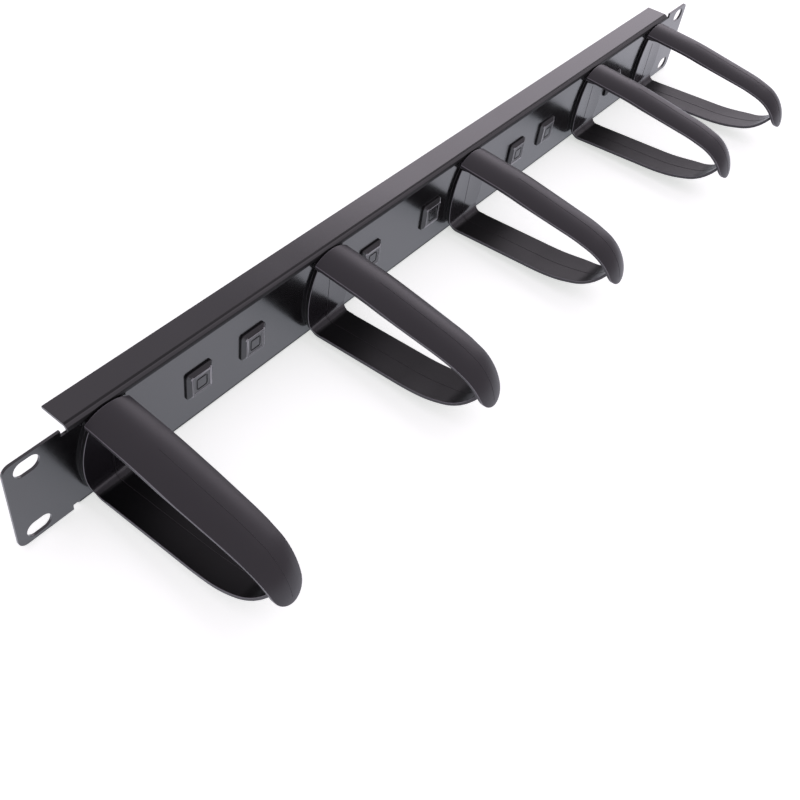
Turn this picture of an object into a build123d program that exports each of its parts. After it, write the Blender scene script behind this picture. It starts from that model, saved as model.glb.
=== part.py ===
from build123d import *
from math import sqrt
import os

os.makedirs("parts", exist_ok=True)

# Horizontal cable manager for a 19 inch rack, in millimetres.
# X runs along the panel, the front is at -Y and Z is up. The origin is the middle of
# the four rack slots, on the rear face, which seats on the rack's rails.

# Folded sheet
panel_width = 482.6
panel_height = 42.0
sheet = 1.2
bend_radius = 1.2
flange_depth = 13.0
ear_length = 25.1
relief_width = 2.6
ear_corner_radius = 3.5

# Rack slots
slot_inset = 8.75
slot_spacing_z = 31.75
slot_length = 10.0
slot_width = 6.8

# Square holes: five pairs at a steady pitch, and one more at each end
hole_size = 10.4
hole_z = -0.5
pair_steps = (-2, -1, 0, 1, 2)
pair_half_gap = 14.2
end_hole_gap = 42.0
end_hole_inset = 15.2
ring_holes = (0, 3, 6, 9, 11)

# Snap foot that holds a ring or a plug in its square hole
hole_clearance = 0.2
snap_clearance = 0.1
leg_gap = 4.6
barb_reach = 0.7
leg_length = 4.2
leg_tip_taper = 1.5

# Plug cap
cap_size = 13.2
cap_skirt = 0.8
cap_height = 2.1
cap_face_size = 9.6
cap_corner_radius = 1.4
cap_face_radius = 0.7
lip_width = 0.9
lip_height = 0.2
groove_size = 5.6
groove_width = 0.6
groove_depth = 0.4
groove_corner_radius = 1.2

# Ring: depths are measured forwards from the panel's front face, heights are in Z
strip = 1.5
crest_line = ((-3.0, 20.8), (26.0, 18.8), (64.0, 13.2), (83.4, 7.4), (86.4, -9.0))
crest_radii = (160.0, 60.0, 21.0)
arm_crown_radius = 16.0
arm_half_width = 9.6
arm_waist_z = 13.0
arm_tip_radius = 6.8
arm_tip_z = 0.2
arm_rear_gap = 0.9
base_line = ((0.0, 17.0), (0.0, -19.2), (56.0, -15.8), (76.0, -10.5), (82.2, -1.6))
base_radii = (5.5, 90.0, 20.0)
base_crown_radius = 220.0
base_half_width = 10.1
base_taper_start = 58.0
wall_widest_half_width = 12.9
wall_widest_z = -3.0
wall_top_half_width = 8.2
wall_top_z = 15.0
wall_zone_depth = 8.0
gusset_inner_radius = 5.5
gusset_start_z = 14.0
gusset_slope = 0.12
gusset_length = 36.0
wall_step_z = 15.5

# How far the blocks that a ring is trimmed with reach past it
trim_margin = 1.0

# Values worked out from the dimensions above
front_y = -sheet
body_length = panel_width - 2 * ear_length
slot_spacing_x = panel_width - 2 * slot_inset
end_hole_x = body_length / 2 - end_hole_inset
pair_pitch = (end_hole_x - end_hole_gap - pair_half_gap) / pair_steps[-1]
fold_radius = bend_radius + sheet
foot_size = hole_size - 2 * hole_clearance
ring_top_z = crest_line[0][1]
ring_bottom_z = base_line[1][1]
ring_depth = crest_line[-1][0]
trim_half_width = wall_widest_half_width + trim_margin
opening_reach = 2 * base_crown_radius
opening_far_z = gusset_start_z + opening_reach * gusset_slope
pair_centres = [pair_pitch * step for step in pair_steps]
pair_holes = [centre + side * pair_half_gap for centre in pair_centres for side in (-1, 1)]
hole_positions = sorted([-end_hole_x, *pair_holes, end_hole_x])
ring_positions = [hole_positions[index] for index in ring_holes]
plug_positions = [x for x in hole_positions if x not in ring_positions]


def side_points(points):
    """Turns (depth in front of the panel, height) pairs into points of the YZ plane."""
    return [(front_y - depth, height) for depth, height in points]


def arc_drop(radius, half_width):
    """How far an arc falls from its apex at a given distance to the side."""
    return radius - sqrt(radius**2 - half_width**2)


def arched_strip(half_width, crown_radius):
    """Section of an arched strip, with the top of its outer arc at the sketch's origin."""
    drop = arc_drop(crown_radius, half_width)
    with BuildSketch() as section:
        with BuildLine():
            outer = ThreePointArc((-half_width, -drop), (0, 0), (half_width, -drop))
            inner = ThreePointArc((-half_width, -drop - strip), (0, -strip), (half_width, -drop - strip))
            Line(outer @ 0, inner @ 0)
            Line(outer @ 1, inner @ 1)
        make_face()
    return section.sketch


def arched_block(half_width, crown_radius, depth):
    """Section of a block with an arched top, whose highest point is at the sketch's origin."""
    drop = arc_drop(crown_radius, half_width)
    with BuildSketch() as section:
        with BuildLine():
            ThreePointArc((-half_width, -drop), (0, 0), (half_width, -drop))
            Polyline((half_width, -drop), (half_width, -depth), (-half_width, -depth), (-half_width, -drop))
        make_face()
    return section.sketch


def wall_outline():
    """Front view of a ring's back wall: bulged sides between the lower arm and the upper arm."""
    rim_z = ring_bottom_z + arc_drop(base_crown_radius, base_half_width) + strip
    with BuildSketch() as outline:
        with BuildLine():
            Polyline((0, ring_bottom_z), (base_half_width, ring_bottom_z), (base_half_width, rim_z))
            bottom = (base_half_width, rim_z)
            top = (wall_top_half_width, wall_top_z)
            ThreePointArc(bottom, (wall_widest_half_width, wall_widest_z), top)
            Polyline(top, (wall_top_half_width, ring_top_z), (0, ring_top_z))
            mirror(about=Plane.YZ)
        make_face()
    return outline.sketch


# Panel: a flat blank with slotted ears, whose long edges fold back into two flanges
with BuildPart() as panel:
    with BuildSketch(Plane.XZ):
        RectangleRounded(panel_width, panel_height, ear_corner_radius)
        with GridLocations(0, 2 * panel_height, 1, 2):
            Rectangle(body_length + 2 * relief_width, panel_height + 2 * fold_radius, mode=Mode.SUBTRACT)
    extrude(amount=sheet)
    with BuildSketch(Plane.YZ):
        with BuildLine():
            FilletPolyline(
                (front_y + flange_depth, panel_height / 2),
                (front_y, panel_height / 2),
                (front_y, -panel_height / 2),
                (front_y + flange_depth, -panel_height / 2),
                radius=fold_radius,
            )
            offset(amount=sheet, side=Side.LEFT)
        make_face()
    extrude(amount=body_length / 2, both=True)
    with BuildSketch(Plane.XZ):
        with GridLocations(slot_spacing_x, slot_spacing_z, 2, 2):
            SlotOverall(slot_length, slot_width)
        with Locations([(x, hole_z) for x in hole_positions]):
            Rectangle(hole_size, hole_size)
    extrude(amount=sheet, mode=Mode.SUBTRACT)

# Snap foot: two legs through the square hole, each with a barb behind the sheet
with BuildPart() as foot:
    with BuildSketch(Plane.XY.offset(hole_z)):
        with BuildLine():
            Polyline(
                (leg_gap / 2, front_y),
                (foot_size / 2, front_y),
                (foot_size / 2, snap_clearance),
                (hole_size / 2 + barb_reach, snap_clearance),
                (foot_size / 2 - leg_tip_taper, leg_length),
                (leg_gap / 2, leg_length),
                close=True,
            )
        make_face()
        mirror(about=Plane.YZ)
    extrude(amount=foot_size / 2, both=True)

# Upper arm of a ring: an arched strip that runs forwards and hooks down into a rounded tip
with BuildPart() as upper_arm:
    with BuildLine(Plane.YZ) as crest:
        FilletPolyline(*side_points(crest_line), radius=crest_radii)
    with BuildSketch(Plane(origin=crest.line @ 0, x_dir=(1, 0, 0), z_dir=crest.line % 0)):
        add(arched_strip(trim_half_width, arm_crown_radius))
    sweep()
    with BuildSketch(Plane.XZ) as arm_outline:
        with Locations((0, arm_tip_z)):
            Circle(arm_tip_radius)
        with Locations((0, arm_waist_z)):
            Rectangle(2 * arm_half_width, 2 * panel_height, align=(Align.CENTER, Align.MIN))
        make_hull()
    extrude(amount=2 * ring_depth, both=True, mode=Mode.INTERSECT)
    split(bisect_by=Plane.XZ.offset(sheet + arm_rear_gap), keep=Keep.TOP)

# Loop of a ring: an arched strip down the back wall, round the corner and along the lower arm
with BuildPart() as lower_arm:
    with BuildLine(Plane.YZ) as base:
        FilletPolyline(*side_points(base_line), radius=base_radii)
    with BuildSketch(Plane(origin=base.line @ 0, x_dir=(-1, 0, 0), z_dir=base.line % 0)):
        add(arched_strip(trim_half_width, base_crown_radius))
    sweep()

# Space that the loop is trimmed to: the wall's outline near the panel, the arm's plan beyond it
with BuildPart() as loop_space:
    with BuildSketch(Plane.XZ.offset(sheet)):
        add(wall_outline())
    extrude(amount=wall_zone_depth)
    with BuildSketch(Plane.XY):
        with Locations((0, front_y - base_taper_start)):
            Rectangle(2 * base_half_width, base_taper_start - wall_zone_depth, align=(Align.CENTER, Align.MIN))
            Ellipse(base_half_width, base_line[-1][0] - base_taper_start)
    extrude(amount=panel_height, both=True)

# Space under the upper arm's crowned top, which the back wall and its gusset fill
with BuildPart() as arm_space:
    with BuildLine(Plane.YZ) as crest_start:
        FilletPolyline(*side_points(crest_line[:3]), radius=crest_radii[0])
    with BuildSketch(Plane(origin=crest_start.line @ 0, x_dir=(1, 0, 0), z_dir=crest_start.line % 0)):
        add(arched_block(trim_half_width, arm_crown_radius, panel_height))
    sweep()

# Rear end of a ring's opening: a hollowed back, and a top that slopes up towards the upper arm
with BuildPart() as opening_end:
    with BuildSketch(Plane.XY.offset(-panel_height)):
        with Locations((0, front_y - strip - base_crown_radius)):
            Circle(base_crown_radius)
    extrude(amount=2 * panel_height)
    with BuildSketch(Plane.YZ):
        with BuildLine():
            Polyline(
                *side_points(
                    (
                        (0, gusset_start_z),
                        (opening_reach, opening_far_z),
                        (opening_reach, -panel_height),
                        (0, -panel_height),
                    )
                ),
                close=True,
            )
        make_face()
    extrude(amount=trim_half_width, both=True, mode=Mode.INTERSECT)
    top_face = opening_end.faces().sort_by(Axis.Z)[-1]
    fillet(top_face.edges().sort_by(Axis.Y)[-1], gusset_inner_radius)

# Back wall of a ring: flat against the panel, with a gusset below the upper arm
with BuildPart() as back_wall:
    with BuildSketch(Plane.XZ.offset(sheet)):
        add(wall_outline())
    extrude(amount=arm_rear_gap)
    split(bisect_by=Plane.XY.offset(wall_step_z), keep=Keep.BOTTOM)
    with BuildSketch(Plane.XZ.offset(sheet + arm_rear_gap)):
        add(wall_outline())
    extrude(amount=gusset_length - arm_rear_gap)
    split(bisect_by=Plane.XY.offset(ring_bottom_z + base_radii[0]), keep=Keep.TOP)
    add(arm_space.part, mode=Mode.INTERSECT)
    add(opening_end.part, mode=Mode.SUBTRACT)

# Ring: one moulding
with BuildPart() as ring:
    add(lower_arm.part)
    add(loop_space.part, mode=Mode.INTERSECT)
    add(back_wall.part)
    add(upper_arm.part)
    add(foot.part)

# Plug: a square cap with sloped sides, a raised lip round its face and a square groove in it
with BuildPart() as plug:
    with BuildSketch(Plane.XZ.offset(sheet)):
        with Locations((0, hole_z)):
            RectangleRounded(cap_size, cap_size, cap_corner_radius)
    extrude(amount=cap_skirt)
    with BuildSketch(Plane.XZ.offset(sheet + cap_skirt)):
        with Locations((0, hole_z)):
            RectangleRounded(cap_size, cap_size, cap_corner_radius)
    with BuildSketch(Plane.XZ.offset(sheet + cap_height)):
        with Locations((0, hole_z)):
            RectangleRounded(cap_face_size, cap_face_size, cap_face_radius)
    loft()
    with BuildSketch(Plane.XZ.offset(sheet + cap_height)):
        with Locations((0, hole_z)):
            Rectangle(cap_face_size - 2 * lip_width, cap_face_size - 2 * lip_width)
    extrude(amount=-lip_height, mode=Mode.SUBTRACT)
    with BuildSketch(Plane.XZ.offset(sheet + cap_height - lip_height)):
        with Locations((0, hole_z)):
            RectangleRounded(groove_size, groove_size, groove_corner_radius)
            Rectangle(groove_size - 2 * groove_width, groove_size - 2 * groove_width, mode=Mode.SUBTRACT)
    extrude(amount=-groove_depth, mode=Mode.SUBTRACT)
    add(foot.part)

panel.part.label = "panel"
export_step(panel.part, "parts/panel.step")
for number, x in enumerate(ring_positions, 1):
    placed = ring.part.moved(Location((x, 0, 0)))
    placed.label = f"cable_ring_{number}"
    export_step(placed, f"parts/cable_ring_{number}.step")
for number, x in enumerate(plug_positions, 1):
    placed = plug.part.moved(Location((x, 0, 0)))
    placed.label = f"hole_plug_{number}"
    export_step(placed, f"parts/hole_plug_{number}.step")
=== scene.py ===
"""Looks of a horizontal cable manager: a folded rack panel, five snap-in cable rings and seven hole plugs."""
import math

import bmesh
import bpy
from bpy.props import FloatProperty, FloatVectorProperty, PointerProperty
from bpy.types import NodeSocket, Operator, Panel, PropertyGroup
from mathutils import Matrix, Vector


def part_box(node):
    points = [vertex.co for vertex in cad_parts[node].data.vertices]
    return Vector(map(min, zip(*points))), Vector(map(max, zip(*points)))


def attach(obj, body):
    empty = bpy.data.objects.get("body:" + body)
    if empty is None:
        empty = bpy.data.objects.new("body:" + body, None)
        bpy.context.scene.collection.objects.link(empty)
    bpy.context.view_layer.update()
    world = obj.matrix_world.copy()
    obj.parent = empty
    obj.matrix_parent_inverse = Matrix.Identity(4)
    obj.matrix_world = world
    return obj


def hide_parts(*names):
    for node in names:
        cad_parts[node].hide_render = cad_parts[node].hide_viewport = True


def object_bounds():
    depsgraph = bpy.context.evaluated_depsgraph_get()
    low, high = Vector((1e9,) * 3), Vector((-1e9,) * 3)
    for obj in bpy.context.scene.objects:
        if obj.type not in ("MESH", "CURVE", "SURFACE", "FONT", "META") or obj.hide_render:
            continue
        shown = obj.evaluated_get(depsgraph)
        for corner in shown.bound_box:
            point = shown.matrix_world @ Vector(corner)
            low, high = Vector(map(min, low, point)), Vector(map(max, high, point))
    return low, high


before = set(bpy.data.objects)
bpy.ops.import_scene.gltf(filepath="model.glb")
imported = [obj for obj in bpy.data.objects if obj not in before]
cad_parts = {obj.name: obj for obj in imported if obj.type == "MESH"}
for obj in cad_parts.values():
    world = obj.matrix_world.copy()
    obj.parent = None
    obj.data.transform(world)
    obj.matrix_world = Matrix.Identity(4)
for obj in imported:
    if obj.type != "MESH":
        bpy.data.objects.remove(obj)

bl_info = {
    "name": "Horizontal cable manager",
    "version": (1, 0, 0),
    "blender": (4, 5, 0),
    "location": "View3D > Sidebar > Cable manager",
    "description": "Dresses the packed cable manager: rounded edges, finishes, floor, light and camera",
    "category": "Object",
}

MM = 0.001
BODY = "root"
CAD_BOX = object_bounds()
PANEL_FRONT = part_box("panel")[0].y
RING_NODES = sorted(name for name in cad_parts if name.startswith("cable_ring"))
PLUG_NODES = sorted(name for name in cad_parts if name.startswith("hole_plug"))

# Cleaning of a copied mesh: points nearer than this are merged, and faces that turn by less are made one
MERGE_DISTANCE = 0.002 * MM
FLAT_ANGLE = math.radians(0.1)

# Rounding: edges sharper than this angle, in this many steps. The weight keeps flat faces flat; 50 is neutral
SHARP_ANGLE = math.radians(28)
ROUNDING_STEPS = 3
FLAT_FACE_WEIGHT = 80

# Material slots of a rounded piece: its main finish, and the finish of its rounded edges, which on the rings and
# plugs is a painted highlight
MAIN_SLOT = 0
RIM_SLOT = 1

# Clouds in a finish: their size, the part of the noise's range that they use, and their swing of the roughness
CLOUD_SIZE = 30 * MM
CLOUD_RANGE = {"From Min": 0.3, "From Max": 0.7}
GLOSS_SWING = 0.04

# Spacing of a moulding's coarse waves, as a multiple of its grain
WAVE_TO_GRAIN = 3

# Width and length of the flow streaks in a moulded strip
STREAK_WIDTH = 0.8 * MM
STREAK_RUN = 30 * MM

# Parts of a face's normal: below the first it doesn't lean that way at all, above the others it leans or faces there
NO_LEAN = 0.01
LEANING = 0.3
FACING = 0.6

# Tilts from vertical, in degrees, of the normals of the facets where a bend's outer curve starts and ends, which get
# a painted dark shade line
BEND_LINES = ((2.0, 22.0), (60.0, 88.0))

# Depth of a plug's lip behind its front, and half the width of the space inside it
LIP_DEPTH = 0.35 * MM
LIP_INSIDE = 3.85 * MM

# Depths in front of the panel where the inside of a ring's lower arm starts and ends; the faces there that look up,
# below the ring's middle, get painted shade
LOWER_INSIDE_START = 4 * MM
LOWER_INSIDE_END = 82 * MM

# A ring's back wall: the depth at which its front starts and the height to which it shows, the height above which
# its flanks and underside get painted shade, and the depth to which they get it
WALL_START = 1 * MM
WALL_TOP = 16 * MM
FLANK_BOTTOM = -14 * MM
GUSSET_END = 20 * MM

# Parting lines of a ring, as depths in front of the panel and heights in millimetres: over the arm, inside the loop
CREST_SEAM = ((26.0, 19.4), (64.0, 13.6), (83.4, 7.6), (86.4, -4.0))
LOOP_SEAM = ((3.5, 9.0), (3.5, -11.0), (7.0, -16.0), (56.0, -13.4), (75.0, -8.4), (80.0, -3.4))
SEAM_STEP = 0.8 * MM
BEAD_SIDES = 6

# Space between the floor and the object's lowest point
FLOOR_GAP = 0.3 * MM

# Pale look that the floor adds for a kind of ray: the ray, its colour and its strength
FLOOR_LOOKS = (
    ("Is Camera Ray", (0.97, 1.0, 0.96, 1.0), 0.6),
    ("Is Glossy Ray", (0.86, 0.91, 1.0, 1.0), 0.76),
)
WHITE = (1.0, 1.0, 1.0, 1.0)
SKY_TINT = (0.97, 0.89, 1.0, 1.0)
LAMP_TINT = (0.98, 0.91, 1.0)

# Soft lamps, aimed at the origin: name, the setting that holds its power, width, height and place in metres
SOFTBOXES = (
    ("key_softbox", "key", 1.7, 1.2, (1.68, 0.6, 0.78)),
    ("top_softbox", "top", 1.2, 1.2, (1.0, -0.4, 1.65)),
)

# Camera: its place, the way it looks, roughly which way is up, its picture's shift, its sensor and its range
CAMERA_PLACE = Vector((-332.0, -188.6, 273.8)) * MM
CAMERA_AHEAD = Vector((0.6016, 0.3994, -0.6918))
CAMERA_UP = Vector((0.4956, 0.4925, 0.7154))
CAMERA_SHIFT = (0.0375, -0.0875)
SENSOR_WIDTH = 36.0
CAMERA_RANGE = (0.01, 100.0)


def linear(code):
    """Turns an sRGB hex value into a linear colour with alpha."""
    channels = [int(code[at:at + 2], 16) / 255 for at in (1, 3, 5)]
    return tuple(c / 12.92 if c <= 0.04045 else ((c + 0.055) / 1.055) ** 2.4 for c in channels) + (1.0,)


def length(name, description, size_mm):
    """A length that the user may change, with its default in millimetres."""
    return FloatProperty(name=name, description=description, default=size_mm * MM, min=0.0,
                         unit="LENGTH", subtype="DISTANCE", precision=5)


def colour(name, description, code):
    """A colour that the user may change, with its default as an sRGB hex value."""
    return FloatVectorProperty(name=name, description=description, default=linear(code), size=4,
                               min=0.0, max=1.0, subtype="COLOR")


class CableManagerPanelSizes(PropertyGroup):
    coat: colour("Coat", "Colour of the powder coat", "#09090b")
    edge_radius: length("Edge radius", "Rounding that the coat gives to every edge of the sheet", 0.14)
    # Painted shade: the darker colour put on the facets where each bend starts and ends, for a dark line along the
    # fold
    bend_shade: colour("Thin coat", "Colour of the dull coat along the bends", "#050506")
    peel: length("Orange peel", "Spacing of the shallow waves in the coat", 2.0)
    grain: length("Grain", "Spacing of the coat's fine grain", 0.4)


class CableManagerRingSizes(PropertyGroup):
    plastic: colour("Plastic", "Colour of the moulded rings", "#2a282b")
    wall: colour("Back wall", "Colour of the polished back wall", "#1b191d")
    # Painted shade: the near-black colour put inside the lower arm and on the flanks and underside at the back
    core: colour("Core side", "Colour of the lower arm's inside and of the flanks", "#080809")
    # Painted highlight: the light grey colour put on the rounded rims for the pale line round every strip
    rim: colour("Rim", "Colour of the trimmed rims", "#757378")
    edge_radius: length("Edge radius", "Rounding of the moulding's rims", 0.2)
    seam_radius: length("Parting line", "Radius of the fine bead where the mould halves met", 0.1)
    grain: length("Grain", "Spacing of the spark-eroded texture", 0.45)


class CableManagerPlugSizes(PropertyGroup):
    plastic: colour("Plastic", "Colour of the moulded plugs", "#0e0e10")
    # Painted highlight: the light grey colour put on the lip round the cap, for its thin pale outline
    rim: colour("Rim", "Colour of the trimmed lip", "#98999b")
    edge_radius: length("Edge radius", "Rounding of the cap's edges", 0.16)
    grain: length("Grain", "Spacing of the spark-eroded texture", 0.45)


class CableManagerStageSizes(PropertyGroup):
    floor: colour("Floor", "Colour of the floor", "#f2f2f2")
    floor_width: FloatProperty(name="Floor width", description="Width of the square floor", default=8.0,
                               min=1.0, unit="LENGTH")
    sky: FloatProperty(name="Sky", description="Strength of the even light from all round", default=0.65,
                       min=0.0)
    key: FloatProperty(name="Key light", description="Power of the large soft light at the right",
                       default=7.4, min=0.0, unit="POWER")
    top: FloatProperty(name="Top light", description="Power of the soft light above the front right",
                       default=0.9, min=0.0, unit="POWER")
    lens: FloatProperty(name="Lens", description="Focal length in millimetres", default=44.8, min=10.0)


def add(tree, kind, inputs=None, **settings):
    """Adds a node. A value in inputs is a constant, or the socket that feeds the input."""
    made = tree.nodes.new(kind)
    for key, value in settings.items():
        setattr(made, key, value)
    for key, value in (inputs or {}).items():
        if isinstance(value, NodeSocket):
            tree.links.new(value, made.inputs[key])
        else:
            made.inputs[key].default_value = value
    return made


def new_material(name):
    """A material and its node tree, which is empty."""
    material = bpy.data.materials.new(name)
    material.use_nodes = True
    material.node_tree.nodes.clear()
    return material, material.node_tree


def textured_finish(name, base, *, roughness, ior, coarse, fine, coarse_depth, fine_depth, mottle, streak_depth=0.0):
    """A finish with coarse and fine bumps, faint clouds in colour and gloss, and flow streaks if they have a depth.

    The spacings and depths of the bumps are in metres, and mottle is the share by which the colour varies.
    """
    material, tree = new_material(name)
    place = add(tree, "ShaderNodeTexCoord").outputs["Object"]
    wave = add(tree, "ShaderNodeTexNoise", {
        "Vector": place, "Scale": 1 / coarse, "Detail": 2.0, "Roughness": 0.45})
    grit = add(tree, "ShaderNodeTexNoise", {
        "Vector": place, "Scale": 1 / fine, "Detail": 3.0, "Roughness": 0.6})
    cloud = add(tree, "ShaderNodeTexNoise", {
        "Vector": place, "Scale": 1 / CLOUD_SIZE, "Detail": 4.0})
    shade = add(tree, "ShaderNodeMapRange", {
        "Value": cloud.outputs["Fac"], **CLOUD_RANGE, "To Min": 1 - mottle, "To Max": 1 + mottle})
    tinted = add(tree, "ShaderNodeVectorMath", {0: base[:3], 1: shade.outputs["Result"]}, operation="MULTIPLY")
    gloss = add(tree, "ShaderNodeMapRange", {
        "Value": cloud.outputs["Fac"], **CLOUD_RANGE,
        "To Min": roughness - GLOSS_SWING, "To Max": roughness + GLOSS_SWING})
    relief = add(tree, "ShaderNodeBump", {
        "Height": wave.outputs["Fac"], "Distance": coarse_depth, "Strength": 1.0})
    relief = add(tree, "ShaderNodeBump", {
        "Height": grit.outputs["Fac"], "Distance": fine_depth, "Strength": 1.0,
        "Normal": relief.outputs["Normal"]})
    if streak_depth:
        drawn = add(tree, "ShaderNodeMapping", {
            "Vector": place, "Scale": (1 / STREAK_WIDTH, 1 / STREAK_RUN, 1 / STREAK_RUN)})
        flow = add(tree, "ShaderNodeTexNoise", {
            "Vector": drawn.outputs["Vector"], "Scale": 1.0, "Detail": 3.0, "Roughness": 0.65})
        relief = add(tree, "ShaderNodeBump", {
            "Height": flow.outputs["Fac"], "Distance": streak_depth, "Strength": 1.0,
            "Normal": relief.outputs["Normal"]})
    shader = add(tree, "ShaderNodeBsdfPrincipled", {
        "Base Color": tinted.outputs["Vector"], "Roughness": gloss.outputs["Result"], "IOR": ior,
        "Normal": relief.outputs["Normal"]})
    add(tree, "ShaderNodeOutputMaterial", {"Surface": shader.outputs["BSDF"]})
    return material


def moulded_finish(name, base, grain, **values):
    """The textured finish of a moulding, with the spacing of its grain."""
    return textured_finish(name, base, coarse=WAVE_TO_GRAIN * grain, fine=grain, **values)


def rounded_copy(node, name, radius, finish, rim):
    """A copy of a CAD node's mesh, merged, with every sharp edge rounded and given the rim's finish."""
    mesh = bpy.data.meshes.new(name)
    mesh.materials.append(finish)
    mesh.materials.append(rim)
    shape = bmesh.new()
    shape.from_mesh(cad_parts[node].data)
    bmesh.ops.remove_doubles(shape, verts=shape.verts, dist=MERGE_DISTANCE)
    bmesh.ops.dissolve_limit(shape, angle_limit=FLAT_ANGLE, verts=shape.verts, edges=shape.edges)
    for face in shape.faces:
        face.smooth = True
        face.material_index = MAIN_SLOT
    shape.to_mesh(mesh)
    shape.free()
    piece = bpy.data.objects.new(name, mesh)
    bpy.context.scene.collection.objects.link(piece)
    bevel = piece.modifiers.new("Rounded edges", "BEVEL")
    bevel.width = radius
    bevel.segments = ROUNDING_STEPS
    bevel.limit_method = "ANGLE"
    bevel.angle_limit = SHARP_ANGLE
    bevel.use_clamp_overlap = False
    bevel.material = RIM_SLOT
    even = piece.modifiers.new("Flat faces stay flat", "WEIGHTED_NORMAL")
    even.mode = "FACE_AREA"
    even.weight = FLAT_FACE_WEIGHT
    return piece


def seam_tree():
    """Node tree that lays a fine bead along a path, on the nearest surface of the piece that it is given."""
    tree = bpy.data.node_groups.new("Parting line", "GeometryNodeTree")
    tree.is_modifier = True
    for name, kind in (("Geometry", "NodeSocketGeometry"), ("Path", "NodeSocketObject"),
                       ("Bead radius", "NodeSocketFloat"), ("Step", "NodeSocketFloat"),
                       ("Plastic", "NodeSocketMaterial")):
        tree.interface.new_socket(name, in_out="INPUT", socket_type=kind)
    tree.interface.new_socket("Geometry", in_out="OUTPUT", socket_type="NodeSocketGeometry")
    given = add(tree, "NodeGroupInput").outputs
    path = add(tree, "GeometryNodeObjectInfo", {"Object": given["Path"]})
    spaced = add(tree, "GeometryNodeResampleCurve", {
        "Curve": path.outputs["Geometry"], "Length": given["Step"]}, mode="LENGTH")
    nearest = add(tree, "GeometryNodeProximity", {0: given["Geometry"]}, target_element="FACES")
    laid = add(tree, "GeometryNodeSetPosition", {
        "Geometry": spaced.outputs["Curve"], "Position": nearest.outputs["Position"]})
    ring = add(tree, "GeometryNodeCurvePrimitiveCircle", {
        "Resolution": BEAD_SIDES, "Radius": given["Bead radius"]})
    bead = add(tree, "GeometryNodeCurveToMesh", {
        "Curve": laid.outputs["Geometry"], "Profile Curve": ring.outputs["Curve"], "Fill Caps": True})
    marked = add(tree, "GeometryNodeStoreNamedAttribute", {
        "Geometry": bead.outputs["Mesh"], "Name": "seam", "Value": True}, data_type="BOOLEAN", domain="FACE")
    both = add(tree, "GeometryNodeJoinGeometry", {"Geometry": marked.outputs["Geometry"]})
    tree.links.new(given["Geometry"], both.inputs["Geometry"])
    whole = add(tree, "GeometryNodeRealizeInstances", {"Geometry": both.outputs["Geometry"]})
    seam = add(tree, "GeometryNodeInputNamedAttribute", {"Name": "seam"}, data_type="BOOLEAN")
    done = add(tree, "GeometryNodeSetMaterial", {
        "Geometry": whole.outputs["Geometry"], "Selection": seam.outputs["Attribute"],
        "Material": given["Plastic"]})
    add(tree, "NodeGroupOutput", {"Geometry": done.outputs["Geometry"]})
    return tree


def seam_path(centre_x):
    """A curve with the two parting lines of the ring at that place."""
    curve = bpy.data.curves.new("seam_path", "CURVE")
    curve.dimensions = "3D"
    for line in (CREST_SEAM, LOOP_SEAM):
        spline = curve.splines.new("POLY")
        spline.points.add(len(line) - 1)
        for point, (depth, height) in zip(spline.points, line):
            point.co = (centre_x, PANEL_FRONT - depth * MM, height * MM, 1.0)
    path = bpy.data.objects.new("seam_path", curve)
    bpy.context.scene.collection.objects.link(path)
    return path


def add_seam(piece, tree, path, radius, plastic):
    """Adds the parting-line tree to a piece as a modifier, ahead of the last one, which evens its normals."""
    modifier = piece.modifiers.new("Parting line", "NODES")
    modifier.node_group = tree
    values = {"Path": path, "Bead radius": radius, "Step": SEAM_STEP, "Plastic": plastic}
    for item in tree.interface.items_tree:
        if item.item_type == "SOCKET" and item.in_out == "INPUT" and item.name in values:
            modifier[item.identifier] = values[item.name]
    added = len(piece.modifiers) - 1
    piece.modifiers.move(added, added - 1)


def refinish(piece, finish, chosen):
    """Gives the finish to every face that the test chooses by its normal and centre."""
    piece.data.materials.append(finish)
    number = len(piece.data.materials) - 1
    for face in piece.data.polygons:
        if chosen(face.normal, face.center):
            face.material_index = number


def settle(piece, node):
    """Turns a finished piece into a plain mesh, inside the CAD box, that stands for its CAD node."""
    baked = bpy.data.meshes.new_from_object(piece.evaluated_get(bpy.context.evaluated_depsgraph_get()))
    baked.name = piece.name
    while baked.materials[-1] is None:
        baked.materials.pop()
    for vertex in baked.vertices:
        vertex.co = [min(max(at, low), high) for at, low, high in zip(vertex.co, *CAD_BOX)]
    piece.modifiers.clear()
    piece.data = baked
    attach(piece, BODY)
    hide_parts(node)


def on_bend_line(normal, centre):
    """Whether a facet of the panel is the first or last one of a bend's outer curve."""
    tilt = math.degrees(math.atan2(-normal.y, abs(normal.z)))
    outside = abs(normal.x) < NO_LEAN and centre.z * normal.z > 0
    return outside and any(low < tilt < high for low, high in BEND_LINES)


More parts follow.
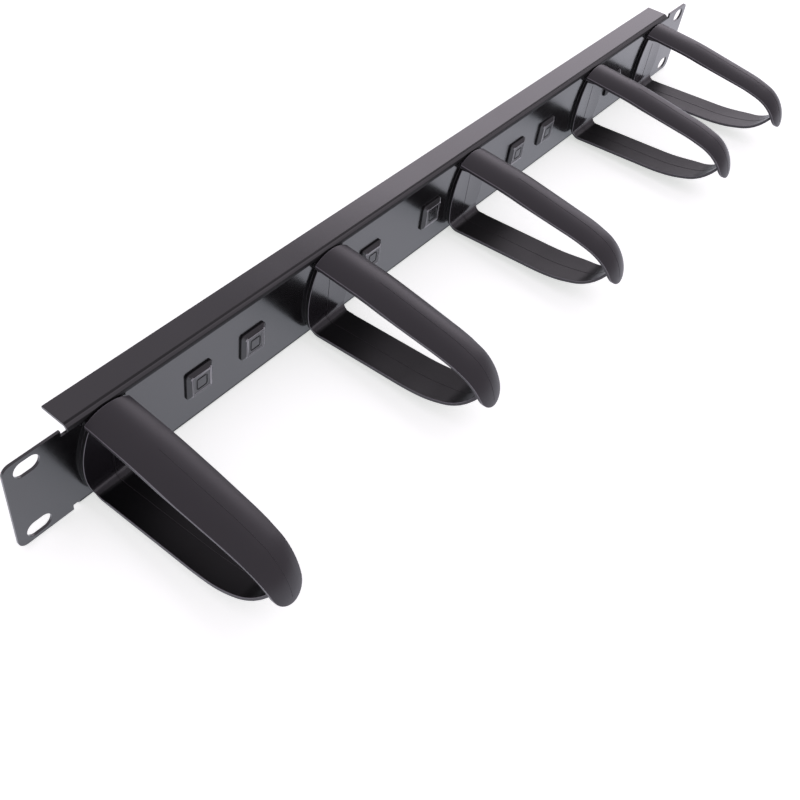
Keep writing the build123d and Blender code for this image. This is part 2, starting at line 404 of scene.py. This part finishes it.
class CABLE_MANAGER_OT_panel(Operator):
    """Makes the folded panel with its coated edges"""
    bl_idname = "cable_manager.make_panel"
    bl_label = "Make panel"

    def execute(self, context):
        sizes = context.scene.cable_manager_panel
        # Mild steel sheet, folded, then powder coated and baked. The powder melts into a closed, fairly glossy
        # skin: near black, with soft pale reflections, shallow waves about 2 mm apart ("orange peel") that break
        # them a little, and faint clouds in depth and gloss. The coat's own grain is under 0.1 mm, and is drawn
        # at 0.4 mm so that it shows. Such coats have an IOR near 1.5; 1.8 matches the shine of this one.
        coat = textured_finish(
            "powder_coated_steel", sizes.coat, roughness=0.18, ior=1.8, coarse=sizes.peel, fine=sizes.grain,
            coarse_depth=0.005 * MM, fine_depth=0.0004 * MM, mottle=0.06)
        piece = rounded_copy("panel", "folded_panel", sizes.edge_radius, coat, coat)
        # Painted shade: a darker, duller copy of the powder coat on the facets where each bend starts and ends,
        # which gives the eye a fine dark line along each side of the fold.
        bend_shade_finish = textured_finish(
            "powder_coat_thin_at_bend", sizes.bend_shade, roughness=0.55, ior=1.45, coarse=sizes.peel,
            fine=sizes.grain, coarse_depth=0.006 * MM, fine_depth=0.002 * MM, mottle=0.06)
        refinish(piece, bend_shade_finish, on_bend_line)
        settle(piece, "panel")
        return {"FINISHED"}


def on_wall(normal, centre):
    """Whether a face of a ring is on the front of its back wall."""
    depth = PANEL_FRONT - centre.y
    return normal.y < -FACING and WALL_START < depth < LOWER_INSIDE_START and abs(centre.z) < WALL_TOP


def on_painted_inside_shade(normal, centre):
    """Whether a face of a ring gets painted shade: on the inside of its lower arm, or on a flank or the underside at
    its back.
    """
    depth = PANEL_FRONT - centre.y
    sideways_or_down = abs(normal.x) > FACING or normal.z < -LEANING
    if depth < GUSSET_END and sideways_or_down and centre.z > FLANK_BOTTOM:
        return True
    return normal.z > LEANING and centre.z < 0 and LOWER_INSIDE_START < depth < LOWER_INSIDE_END


class CABLE_MANAGER_OT_rings(Operator):
    """Makes the five moulded cable rings"""
    bl_idname = "cable_manager.make_rings"
    bl_label = "Make cable rings"

    def execute(self, context):
        sizes = context.scene.cable_manager_ring
        # Glass-filled nylon, injection moulded in black in a spark-eroded steel mould: a satin, slightly warm
        # black, dusty with fine grit, with faint streaks along the strip where the melt flowed. The real grit is
        # 0.05 to 0.1 mm, and is drawn at 0.45 mm so that it shows. The streaks are drawn 0.8 mm wide for the
        # same reason. The IOR is nylon's own, about 1.5.
        plastic = moulded_finish(
            "moulded_nylon_ring", sizes.plastic, sizes.grain, roughness=0.4, ior=1.5,
            coarse_depth=0.006 * MM, fine_depth=0.003 * MM, mottle=0.05, streak_depth=0.006 * MM)
        # Painted highlight: the same nylon on the rounded edges, given a light grey colour and more gloss, so that
        # the eye gets a fine pale line round every strip.
        rim = moulded_finish(
            "moulded_nylon_ring_rim", sizes.rim, sizes.grain, roughness=0.22, ior=1.6,
            coarse_depth=0.002 * MM, fine_depth=0.001 * MM, mottle=0.05)
        # The same nylon on the front of the back wall, moulded against a polished part of the mould: smoother, so
        # it mirrors the pale floor in front of it and looks lighter than the arms. Its IOR is raised to match.
        wall = moulded_finish(
            "moulded_nylon_polished_wall", sizes.wall, sizes.grain, roughness=0.22, ior=1.75,
            coarse_depth=0.004 * MM, fine_depth=0.0015 * MM, mottle=0.05, streak_depth=0.004 * MM)
        # Painted shade: the same nylon, nearly black, with little shine and a lowered IOR, put inside the lower arm
        # and on the flanks and underside at the back, where the upper arm and the wall keep the light off.
        core = moulded_finish(
            "moulded_nylon_core_side", sizes.core, sizes.grain, roughness=0.34, ior=1.38,
            coarse_depth=0.004 * MM, fine_depth=0.002 * MM, mottle=0.05, streak_depth=0.006 * MM)
        tree = seam_tree()
        for node in RING_NODES:
            piece = rounded_copy(node, node.replace("cable_ring", "ring_moulding"), sizes.edge_radius, plastic, rim)
            refinish(piece, core, on_painted_inside_shade)
            refinish(piece, wall, on_wall)
            low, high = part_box(node)
            path = seam_path((low.x + high.x) / 2)
            add_seam(piece, tree, path, sizes.seam_radius, plastic)
            settle(piece, node)
            bpy.data.objects.remove(path)
        return {"FINISHED"}


def on_lip(centre, low, high):
    """Whether a face is on the narrow lip round the cap of the plug that fills the box."""
    middle = (low + high) / 2
    aside = max(abs(centre.x - middle.x), abs(centre.z - middle.z))
    return centre.y < low.y + LIP_DEPTH and aside > LIP_INSIDE


class CABLE_MANAGER_OT_plugs(Operator):
    """Makes the seven hole plugs"""
    bl_idname = "cable_manager.make_plugs"
    bl_label = "Make hole plugs"

    def execute(self, context):
        sizes = context.scene.cable_manager_plug
        # Unfilled nylon, injection moulded in black: a cooler, cleaner black than the rings, with a low satin
        # shine and a fine, even texture, drawn at 0.45 mm where the real one is under 0.1 mm.
        plastic = moulded_finish(
            "moulded_nylon_plug", sizes.plastic, sizes.grain, roughness=0.28, ior=1.65,
            coarse_depth=0.004 * MM, fine_depth=0.002 * MM, mottle=0.04)
        # Painted highlight: the same nylon on the narrow lip round the cap, given a light grey colour and more
        # gloss, which draws a thin, light grey outline of a square.
        rim = moulded_finish(
            "moulded_nylon_plug_rim", sizes.rim, sizes.grain, roughness=0.22, ior=1.6,
            coarse_depth=0.002 * MM, fine_depth=0.001 * MM, mottle=0.04)
        for node in PLUG_NODES:
            piece = rounded_copy(node, node.replace("hole_plug", "plug_moulding"), sizes.edge_radius, plastic, rim)
            settle(piece, node)
            low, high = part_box(node)
            for face in piece.data.polygons:
                face.material_index = RIM_SLOT if on_lip(face.center, low, high) else MAIN_SLOT
        return {"FINISHED"}


def make_floor(scene, sizes):
    """A square floor just under the object, of matt paper."""
    mesh = bpy.data.meshes.new("floor")
    half = sizes.floor_width / 2
    level = CAD_BOX[0].z - FLOOR_GAP
    corners = [(-half, -half, level), (half, -half, level), (half, half, level), (-half, half, level)]
    mesh.from_pydata(corners, [], [(0, 1, 2, 3)])
    floor = bpy.data.objects.new("floor", mesh)
    scene.collection.objects.link(floor)
    # A roll of matt white paper: even, with no shine. The light that it adds for camera and glossy rays is its
    # pale look alone, so it keeps the object's shadow and puts no more light on the object.
    material, tree = new_material("matt_paper_floor")
    diffuse = add(tree, "ShaderNodeBsdfDiffuse", {"Color": tuple(sizes.floor)})
    rays = add(tree, "ShaderNodeLightPath")
    surface = diffuse.outputs["BSDF"]
    for kind, tint, strength in FLOOR_LOOKS:
        lift = add(tree, "ShaderNodeMath", {0: rays.outputs[kind], 1: strength}, operation="MULTIPLY")
        glow = add(tree, "ShaderNodeEmission", {"Color": tint, "Strength": lift.outputs["Value"]})
        surface = add(tree, "ShaderNodeAddShader", {0: surface, 1: glow.outputs["Emission"]}).outputs["Shader"]
    add(tree, "ShaderNodeOutputMaterial", {"Surface": surface})
    mesh.materials.append(material)


def make_sky(scene, sizes):
    """Even light from all round, which the camera sees as white."""
    world = bpy.data.worlds.new("studio")
    scene.world = world
    world.use_nodes = True
    tree = world.node_tree
    tree.nodes.clear()
    rays = add(tree, "ShaderNodeLightPath")
    even = add(tree, "ShaderNodeBackground", {"Color": SKY_TINT, "Strength": sizes.sky})
    white = add(tree, "ShaderNodeBackground", {"Color": WHITE, "Strength": 1.0})
    mixed = add(tree, "ShaderNodeMixShader", {
        "Fac": rays.outputs["Is Camera Ray"], 1: even.outputs["Background"], 2: white.outputs["Background"]})
    add(tree, "ShaderNodeOutputWorld", {"Surface": mixed.outputs["Shader"]})


def make_softboxes(scene, sizes):
    """The large soft lamps."""
    for name, power, width, height, place in SOFTBOXES:
        lamp = bpy.data.lights.new(name, "AREA")
        lamp.energy = getattr(sizes, power)
        lamp.color = LAMP_TINT
        lamp.shape = "RECTANGLE"
        lamp.size = width
        lamp.size_y = height
        softbox = bpy.data.objects.new(name, lamp)
        scene.collection.objects.link(softbox)
        softbox.location = place
        softbox.rotation_mode = "QUATERNION"
        softbox.rotation_quaternion = (-softbox.location).to_track_quat("-Z", "Y")


def make_camera(scene, sizes):
    """The camera, at the photograph's viewing angle."""
    lens = bpy.data.cameras.new("camera")
    lens.lens = sizes.lens
    lens.sensor_width = SENSOR_WIDTH
    lens.shift_x, lens.shift_y = CAMERA_SHIFT
    lens.clip_start, lens.clip_end = CAMERA_RANGE
    camera = bpy.data.objects.new("camera", lens)
    scene.collection.objects.link(camera)
    ahead = CAMERA_AHEAD.normalized()
    right = ahead.cross(CAMERA_UP).normalized()
    up = right.cross(ahead)
    turn = Matrix((right, up, -ahead)).transposed()
    camera.matrix_world = Matrix.Translation(CAMERA_PLACE) @ turn.to_4x4()
    scene.camera = camera


class CABLE_MANAGER_OT_stage(Operator):
    """Makes the floor, the soft light and the camera"""
    bl_idname = "cable_manager.make_stage"
    bl_label = "Make stage"

    def execute(self, context):
        context.scene.view_settings.view_transform = "Standard"
        for make in (make_floor, make_sky, make_softboxes, make_camera):
            make(context.scene, context.scene.cable_manager_stage)
        return {"FINISHED"}


class CABLE_MANAGER_PT_sidebar(Panel):
    """Lists every group of settings with the button that uses it"""
    bl_label = "Cable manager"
    bl_idname = "CABLE_MANAGER_PT_sidebar"
    bl_space_type = "VIEW_3D"
    bl_region_type = "UI"
    bl_category = "Cable manager"

    def draw(self, context):
        for key, sizes, maker in GROUPS:
            box = self.layout.box()
            for size in sizes.__annotations__:
                box.prop(getattr(context.scene, key), size)
            box.operator(maker.bl_idname)


# Groups of settings: the name on the scene, the class of the settings and the operator that uses them
GROUPS = (
    ("cable_manager_stage", CableManagerStageSizes, CABLE_MANAGER_OT_stage),
    ("cable_manager_panel", CableManagerPanelSizes, CABLE_MANAGER_OT_panel),
    ("cable_manager_ring", CableManagerRingSizes, CABLE_MANAGER_OT_rings),
    ("cable_manager_plug", CableManagerPlugSizes, CABLE_MANAGER_OT_plugs),
)
CLASSES = [cls for _, sizes, maker in GROUPS for cls in (sizes, maker)] + [CABLE_MANAGER_PT_sidebar]


def register():
    for cls in CLASSES:
        bpy.utils.register_class(cls)
    for key, sizes, _ in GROUPS:
        setattr(bpy.types.Scene, key, PointerProperty(type=sizes))


def unregister():
    for key, _, _ in GROUPS:
        delattr(bpy.types.Scene, key)
    for cls in reversed(CLASSES):
        bpy.utils.unregister_class(cls)


def main():
    register()
    bpy.ops.cable_manager.make_stage()
    bpy.ops.cable_manager.make_panel()
    bpy.ops.cable_manager.make_rings()
    bpy.ops.cable_manager.make_plugs()


if __name__ == "__main__":
    main()
